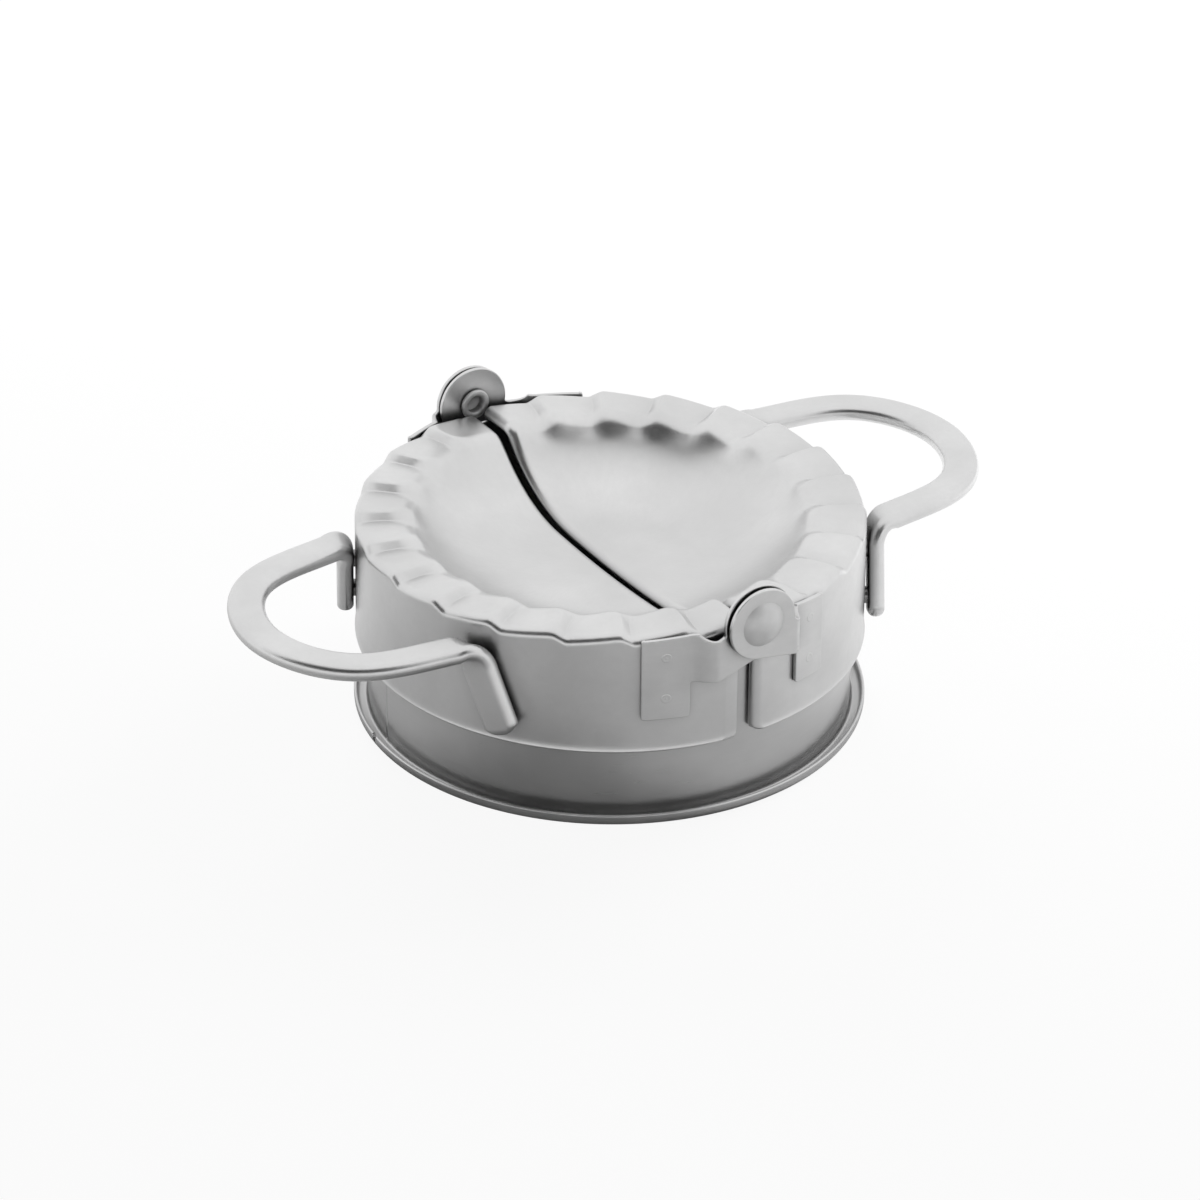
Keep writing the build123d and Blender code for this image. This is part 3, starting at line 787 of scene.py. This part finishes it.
def leafOutline(shape):
    # side view, counter-clockwise, with the ear at x = 0 and the plate at positive x
    topZ = hingeZ - leaf["topDrop"]
    lowZ = topZ - shape["height"]
    armZ = topZ - shape["armHeight"]
    ear = shape["earRadius"]
    middle = Vector((0, hingeZ))
    neckMiddle = (shape["neckX"], topZ - shape["neckDepth"] + shape["neckRadius"])
    neckTurn = math.degrees(math.acos((shape["neckRadius"] - shape["neckDepth"]) / shape["neckRadius"]))
    neckArc = arcLine(neckMiddle, shape["neckRadius"], neckTurn - 90, -90 - neckTurn, leaf["neckSteps"])
    neckLine = [Vector(p) for p in neckArc if (Vector(p) - middle).length > ear]
    pull = Vector((shape["armX"], armZ)) - middle
    tangent = math.atan2(pull.y, pull.x) - math.acos(ear / pull.length)
    corners = [
        (shape["armX"], armZ, 0), (shape["nearX"], armZ, leaf["armCornerRadius"]),
        (shape["nearX"], lowZ, leaf["cornerRadius"]), (shape["farX"], lowZ, leaf["cornerRadius"]),
        (shape["farX"], topZ, leaf["topCornerRadius"]),
    ]
    outline = roundCorners(corners, leaf["arcSteps"]) + neckLine
    meeting = neckLine[-1] - middle
    start = math.degrees(math.atan2(meeting.y, meeting.x)) + leaf["earStart"]
    end = 360 + math.degrees(tangent)
    outline += [Vector(p) for p in arcLine(middle, ear, start, end, leaf["earSteps"])]
    return outline


def insetLoop(loop, inset):
    # moves a counter-clockwise loop of points inward, by a limited amount at sharp corners
    leastLean = 0.5
    moved = []
    for k, point in enumerate(loop):
        before = (point - loop[k - 1]).normalized()
        after = (loop[(k + 1) % len(loop)] - point).normalized()
        inward = (Vector((-before.y, before.x)) + Vector((-after.y, after.x))).normalized()
        lean = max(leastLean, inward.dot(Vector((-before.y, before.x))))
        moved.append(point + inward * inset / lean)
    return moved


def circleLoop(x, z, radius, clockwise):
    end = -360 if clockwise else 360
    return [Vector(p) for p in arcLine((x, z), radius, 0, end, leaf["holeSteps"])[:-1]]


def bendPoint(shape, x, z, lift):
    # from the flat plate to the strip that hugs the skirt and steps out to the ear
    half = leaf["sheet"] / 2
    hug = die["skirtRadius"] + leaf["clearance"] + half
    earY = -shape["earY"] - half
    if x >= shape["nearX"]:
        depth = math.sqrt(hug ** 2 - x ** 2)
        y = -depth
        lean = x / depth
    elif x <= shape["armX"]:
        y = earY
        lean = 0.0
    else:
        span = shape["nearX"] - shape["armX"]
        share = (x - shape["armX"]) / span
        depth = math.sqrt(hug ** 2 - shape["nearX"] ** 2)
        endLean = shape["nearX"] / depth
        y = hermite(earY, -depth, 0.0, endLean, span, share)
        lean = 6 * (earY + depth) * (share ** 2 - share) / span + endLean * (3 * share ** 2 - 2 * share)
    length = math.hypot(1, lean)
    return (x + lift * lean / length, y - lift / length, z)


def plateMesh(loops):
    # flat plate with rounded edges round every loop
    half = leaf["sheet"] / 2
    edge = leaf["edgeRadius"]
    layers = [math.pi / 2 * k / leaf["edgeSteps"] for k in range(leaf["edgeSteps"] + 1)]
    stack = [(edge * (1 - math.sin(turn)), half - edge * (1 - math.cos(turn))) for turn in layers]
    stack += [(inset, -lift) for inset, lift in reversed(stack)]
    points = []
    faces = []
    frontRims = []
    backRims = []
    for loop in loops:
        rings = [addRow(points, [(p.x, p.y, lift) for p in insetLoop(loop, inset)]) for inset, lift in stack]
        faces += bridgeRows(rings, closed=True)
        frontRims.append(rings[0])
        backRims.append(rings[-1])
    for rims in (frontRims, backRims):
        flat = [[Vector((points[k][0], points[k][1], 0)) for k in rim] for rim in rims]
        order = [k for rim in rims for k in rim]
        faces += [tuple(order[k] for k in triangle) for triangle in geometry.tessellate_polygon(flat)]
    return points, faces


def sliceAcross(points, faces, cuts, way):
    # cuts the flat plate into narrow slices, so that it can bend and its mesh is even
    work = bmesh.new()
    verts = [work.verts.new(p) for p in points]
    for face in faces:
        if len(set(face)) > 2:
            work.faces.new([verts[k] for k in face])
    for cut in cuts:
        everything = work.verts[:] + work.edges[:] + work.faces[:]
        place = (cut * way[0], cut * way[1], 0)
        normal = (way[0], way[1], 0)
        bmesh.ops.bisect_plane(work, geom=everything, dist=leaf["cutReach"], plane_co=place, plane_no=normal)
    bmesh.ops.remove_doubles(work, verts=work.verts, dist=leaf["mergeReach"])
    work.verts.index_update()
    newPoints = [tuple(v.co) for v in work.verts]
    newFaces = [tuple(v.index for v in f.verts) for f in work.faces]
    work.free()
    return newPoints, newFaces


def weldPlaces(shape):
    topZ = hingeZ - leaf["topDrop"] - weldSpot["depth"]
    middle = (shape["farX"] + shape["nearX"]) / 2
    return [(middle, topZ), (middle, topZ - weldSpot["spacing"])]


def weldMark(x, z):
    # spot weld: a low ring with a small peak, standing on the leaf
    half = leaf["sheet"] / 2
    relief = weldSpot["relief"]
    points = [(x, z, half + relief)]
    rings = []
    for radius in spread(0, weldSpot["radius"], weldSpot["rings"])[1:]:
        share = radius / weldSpot["radius"]
        onRing = min(1.0, max(0.0, (share - weldSpot["ringStart"]) / weldSpot["ringSpan"]))
        bulge = max(1 - weldSpot["peakSlope"] * share, math.sin(math.pi * onRing))
        edge = smoothStep((share - weldSpot["edgeStart"]) / (1 - weldSpot["edgeStart"]))
        lift = half + relief * (weldSpot["floor"] + (1 - weldSpot["floor"]) * bulge - 2 * edge)
        rings.append(addRow(points, [(p.x, p.y, lift) for p in circleLoop(x, z, radius, False)]))
    back = addRow(points, [(points[k][0], points[k][1], 0.0) for k in rings[-1]])
    faces = fanFaces(0, rings[0]) + bridgeRows(rings + [back], closed=True) + [tuple(back)]
    return points, faces


def placeLeaf(points, shape, mirrored, turned):
    # bends the flat points, and mirrors or turns them to their side of the press
    bent = [bendPoint(shape, x, z, lift) for x, z, lift in points]
    if mirrored:
        bent = [(-x, y, z) for x, y, z in bent]
    return halfTurn(bent) if turned else bent


def buildLeaf(name, body, nodes, shape, mirrored, turned):
    ear = shape["earRadius"]
    hole = circleLoop(0, hingeZ, leaf["holeRadius"], True)
    points, faces = plateMesh([leafOutline(shape), hole])
    cutCount = int((shape["farX"] + ear) / leaf["sliceStep"])
    cuts = [leaf["sliceStep"] * k - ear for k in range(1, cutCount + 1)]
    points, faces = sliceAcross(points, faces, cuts, (1, 0))
    lowZ = hingeZ - leaf["topDrop"] - shape["height"]
    levelCount = int((hingeZ + ear - lowZ) / leaf["levelStep"])
    levels = [lowZ + leaf["levelStep"] * k for k in range(1, levelCount)]
    points, faces = sliceAcross(points, faces, levels, (0, 1))
    plate = placeLeaf(points, shape, mirrored, turned)
    piece = addPiece(name, plate, faces, body, [nodes[0]], hingeSteel, sharpAngle=40)
    evenShade = piece.modifiers.new("evenShade", "WEIGHTED_NORMAL")
    evenShade.keep_sharp = True
    points = []
    faces = []
    for x, z in weldPlaces(shape):
        markPoints, markFaces = weldMark(x, z)
        faces += [tuple(k + len(points) for k in face) for face in markFaces]
        points += markPoints
    marks = placeLeaf(points, shape, mirrored, turned)
    addPiece(name + "Marks", marks, faces, body, [nodes[1]], hingeSteel, sharpAngle=40)


buildLeaf("frontRightLeaf", "right_half", ["front_right_leaf", "front_right_welds"], outerLeaf, False, False)
buildLeaf("frontLeftLeaf", "left_half", ["front_left_leaf", "front_left_welds"], innerLeaf, True, False)
buildLeaf("rearLeftLeaf", "left_half", ["rear_left_leaf", "rear_left_welds"], outerLeaf, False, True)
buildLeaf("rearRightLeaf", "right_half", ["rear_right_leaf", "rear_right_welds"], innerLeaf, True, True)
print("hinge leaves built")


# rivets, turned about their own axis

rivet = {
    "shankRadius": 2.15, "headRadius": 4.0, "headHeight": 1.5, "headBevel": 0.12, "domePeak": 0.01,
    "tailRadius": 2.8, "tailLength": 0.75, "tailGap": 0.05, "boreRadius": 1.6, "boreDepth": 2.0,
    "lipBevel": 0.25, "floorBevel": 0.4, "floorShare": 0.6, "floorPeak": 0.1,
    "domeSteps": 14, "rollSteps": 10, "segments": 64,
}


def rivetProfile():
    # radius and distance from the axis of the press, from the dome top to the floor of the bore
    head = rivet["headRadius"]
    bore = rivet["boreRadius"]
    headY = leaf["innerEarY"] + 2 * leaf["sheet"] + leaf["earGap"]
    tailY = leaf["innerEarY"] - rivet["tailGap"]
    domeRadius = (head ** 2 + rivet["headHeight"] ** 2) / (2 * rivet["headHeight"])
    domeTurn = math.degrees(math.asin(head / domeRadius))
    profile = []
    for k in range(1, rivet["domeSteps"] + 1):
        turn = math.radians(domeTurn * k / rivet["domeSteps"])
        drop = domeRadius * (1 - math.cos(turn))
        profile.append((domeRadius * math.sin(turn), headY + rivet["headHeight"] - drop))
    profile.append((head - rivet["headBevel"], headY))
    profile += [(rivet["shankRadius"], headY), (rivet["shankRadius"], tailY)]
    roll = rivet["tailLength"] / 2
    profile += arcLine((rivet["tailRadius"] - roll, tailY - roll), roll, 90, -90, rivet["rollSteps"])
    endY = tailY - 2 * roll
    floorY = endY + rivet["boreDepth"]
    profile += [(bore + rivet["lipBevel"], endY), (bore, endY + rivet["lipBevel"])]
    profile += [(bore, floorY - rivet["floorBevel"]), (bore * rivet["floorShare"], floorY)]
    return profile


def buildRivet(name, body, node, turned):
    profile = rivetProfile()
    domeTop = -profile[0][1] - rivet["domePeak"]
    boreEnd = -profile[-1][1] - rivet["floorPeak"]
    points = [(0, domeTop, hingeZ), (0, boreEnd, hingeZ)]
    turns = [2 * math.pi * k / rivet["segments"] for k in range(rivet["segments"])]
    rings = []
    for radius, distance in profile:
        ring = [(radius * math.cos(turn), -distance, hingeZ + radius * math.sin(turn)) for turn in turns]
        rings.append(addRow(points, ring))
    faces = bridgeRows(rings, closed=True) + fanFaces(0, rings[0]) + fanFaces(1, rings[-1])
    if turned:
        points = halfTurn(points)
    addPiece(name, points, faces, body, [node], rivetSteel, sharpAngle=50)


buildRivet("frontRivetStud", "right_half", "front_rivet", False)
buildRivet("rearRivetStud", "left_half", "rear_rivet", True)
print("rivets built")


# floor, lamps, world and camera

# lengths in metres, and levels from 0 to 1
stage = {
    "floorRadius": 3.0, "floorLevel": 0.70, "paperScale": 220.0, "paperContrast": 0.01, "fadeStart": 0.13,
    "fadeEnd": 0.36, "cameraWhite": 0.92, "rimCover": 0.001, "rings": 40, "segments": 96, "worldLevel": 0.30,
}


def directRays(tree):
    # the light path, and 1 for the rays of the camera and of reflections that see a surface themselves
    path = tree.nodes.new("ShaderNodeLightPath")
    mirrorRays = mathNode(tree, "MAXIMUM", path.outputs["Is Glossy Ray"], path.outputs["Is Transmission Ray"])
    return path, mathNode(tree, "MAXIMUM", path.outputs["Is Camera Ray"], mirrorRays)


def floorMaterial():
    material, shader = newMaterial("paleFloor")
    tree = material.node_tree
    shader.inputs["Roughness"].default_value = 0.9
    shader.inputs["Specular IOR Level"].default_value = 0.0
    place = tree.nodes.new("ShaderNodeTexCoord").outputs["Object"]
    paper = noiseNode(tree, place, stage["paperScale"], detail=2.0)
    darkest = grey(stage["floorLevel"] - stage["paperContrast"])
    lightest = grey(stage["floorLevel"] + stage["paperContrast"])
    tree.links.new(mixColour(tree, paper, darkest, lightest), shader.inputs["Base Color"])
    # far from the object the floor is plain white, near it the lit floor shows with its shadow
    length = tree.nodes.new("ShaderNodeVectorMath")
    length.operation = "LENGTH"
    tree.links.new(place, length.inputs[0])
    fade = tree.nodes.new("ShaderNodeMapRange")
    fade.interpolation_type = "SMOOTHSTEP"
    fade.inputs["From Min"].default_value = stage["fadeStart"]
    fade.inputs["From Max"].default_value = stage["fadeEnd"]
    tree.links.new(length.outputs["Value"], fade.inputs["Value"])
    path, direct = directRays(tree)
    far = mathNode(tree, "MULTIPLY", direct, fade.outputs[0])
    # inside the cutter the camera sees the floor without the white
    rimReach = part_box("cutter_ring")[1][0]
    outside = mathNode(tree, "GREATER_THAN", length.outputs["Value"], rimReach - stage["rimCover"])
    near = mathNode(tree, "MULTIPLY", outside, path.outputs["Is Camera Ray"])
    near = mathNode(tree, "MULTIPLY", near, stage["cameraWhite"])
    white = tree.nodes.new("ShaderNodeEmission")
    mix = tree.nodes.new("ShaderNodeMixShader")
    tree.links.new(mathNode(tree, "MAXIMUM", far, near), mix.inputs[0])
    tree.links.new(shader.outputs[0], mix.inputs[1])
    tree.links.new(white.outputs[0], mix.inputs[2])
    tree.links.new(mix.outputs[0], tree.nodes["Material Output"].inputs["Surface"])
    return material


def buildFloor():
    # rings that widen outward round one middle vertex
    turns = [2 * math.pi * step / stage["segments"] for step in range(stage["segments"])]
    points = [(0, 0, 0)]
    rings = []
    for k in range(1, stage["rings"] + 1):
        radius = stage["floorRadius"] * (k / stage["rings"]) ** 2
        ring = [(radius * math.cos(turn), radius * math.sin(turn), 0) for turn in turns]
        rings.append(addRow(points, ring))
    mesh = bpy.data.meshes.new("studioFloor")
    mesh.from_pydata(points, [], fanFaces(0, rings[0]) + bridgeRows(rings, closed=True))
    mesh.materials.append(floorMaterial())
    floor = bpy.data.objects.new("studioFloor", mesh)
    bpy.context.scene.collection.objects.link(floor)


# metres and watts
lamps = {
    "keyLamp": {"place": (0.14, 0.46, 0.24), "aim": (0, 0, 0.02), "size": 0.28, "power": 2.5},
    "sideLamp": {"place": (0.40, 0.07, 0.22), "aim": (0, 0, 0.02), "size": 0.26, "power": 2.3},
}


def addLamp(name, lamp):
    data = bpy.data.lights.new(name, "AREA")
    data.shape = "DISK"
    data.size = lamp["size"]
    data.energy = lamp["power"]
    light = bpy.data.objects.new(name, data)
    # the steel shows the white studio, and the lamps light the floor and cast the shadow
    light.visible_camera = False
    light.visible_glossy = False
    light.location = lamp["place"]
    light.rotation_mode = "QUATERNION"
    light.rotation_quaternion = (Vector(lamp["place"]) - Vector(lamp["aim"])).to_track_quat("Z", "Y")
    bpy.context.scene.collection.objects.link(light)


def buildWorld():
    # soft light on everything, and plain white where the camera or a reflection sees the world
    world = bpy.data.worlds.new("studio")
    world.use_nodes = True
    tree = world.node_tree
    soft = tree.nodes["Background"]
    soft.inputs["Color"].default_value = grey(1.0)
    soft.inputs["Strength"].default_value = stage["worldLevel"]
    white = tree.nodes.new("ShaderNodeBackground")
    white.inputs["Color"].default_value = grey(1.0)
    mix = tree.nodes.new("ShaderNodeMixShader")
    tree.links.new(directRays(tree)[1], mix.inputs[0])
    tree.links.new(soft.outputs[0], mix.inputs[1])
    tree.links.new(white.outputs[0], mix.inputs[2])
    tree.links.new(mix.outputs[0], tree.nodes["World Output"].inputs["Surface"])
    bpy.context.scene.world = world


# turns in degrees, lengths in millimetres and places in pixels of the square picture
camera = {
    "azimuth": -32.823, "elevation": 29.702, "roll": 0.554, "distance": 1100.07, "targetZ": 18.7,
    "focalPixels": 6354.1, "imagePixels": 1200, "centreX": 610.02, "centreY": 599.88, "sensor": 36.0,
}


def wayAt(azimuth, elevation):
    # direction from the middle of the press, with azimuth 0 in front
    turn = math.radians(azimuth)
    rise = math.radians(elevation)
    return Vector((math.sin(turn) * math.cos(rise), -math.cos(turn) * math.cos(rise), math.sin(rise)))


def buildCamera():
    turn = math.radians(camera["azimuth"])
    roll = math.radians(camera["roll"])
    back = wayAt(camera["azimuth"], camera["elevation"])
    right = Vector((math.cos(turn), math.sin(turn), 0))
    up = back.cross(right)
    rolledRight = right * math.cos(roll) + up * math.sin(roll)
    rolledUp = up * math.cos(roll) - right * math.sin(roll)
    place = (Vector((0, 0, camera["targetZ"])) + back * camera["distance"]) * mm
    data = bpy.data.cameras.new("studioCamera")
    data.sensor_width = camera["sensor"]
    data.lens = camera["sensor"] * camera["focalPixels"] / camera["imagePixels"]
    middle = camera["imagePixels"] / 2
    data.shift_x = (middle - camera["centreX"]) / camera["imagePixels"]
    data.shift_y = (camera["centreY"] - middle) / camera["imagePixels"]
    eye = bpy.data.objects.new("studioCamera", data)
    bpy.context.scene.collection.objects.link(eye)
    columns = Matrix((rolledRight, rolledUp, back)).transposed()
    eye.matrix_world = Matrix.Translation(place) @ columns.to_4x4()
    bpy.context.scene.camera = eye


# turns in degrees, and the distance in metres
flag = {
    "azimuths": (-110, 12), "elevations": (20, 64), "distance": 1.0, "level": 0.06, "columns": 30, "rows": 8,
}


def buildFlag():
    # a curved matt card that only reflections see, as a studio's dark side does
    lowest, highest = flag["elevations"]
    first, last = flag["azimuths"]
    shares = [column / flag["columns"] for column in range(flag["columns"] + 1)]
    azimuths = [first + (last - first) * share for share in shares]
    points = []
    grid = []
    for row in range(flag["rows"] + 1):
        elevation = lowest + (highest - lowest) * row / flag["rows"]
        ways = [wayAt(azimuth, elevation) for azimuth in azimuths]
        grid.append(addRow(points, [tuple(way * flag["distance"]) for way in ways]))
    mesh = bpy.data.meshes.new("darkSide")
    mesh.from_pydata(points, [], bridgeRows(grid))
    material, shader = newMaterial("darkSide")
    shader.inputs["Base Color"].default_value = grey(flag["level"])
    shader.inputs["Roughness"].default_value = 1.0
    shader.inputs["Specular IOR Level"].default_value = 0.0
    mesh.materials.append(material)
    card = bpy.data.objects.new("darkSide", mesh)
    card.visible_camera = False
    card.visible_diffuse = False
    card.visible_shadow = False
    card.visible_transmission = False
    bpy.context.scene.collection.objects.link(card)


buildFloor()
buildWorld()
for lampName, lampValues in lamps.items():
    addLamp(lampName, lampValues)
buildFlag()
buildCamera()
bpy.context.scene.view_settings.view_transform = "Standard"
print("stage set")
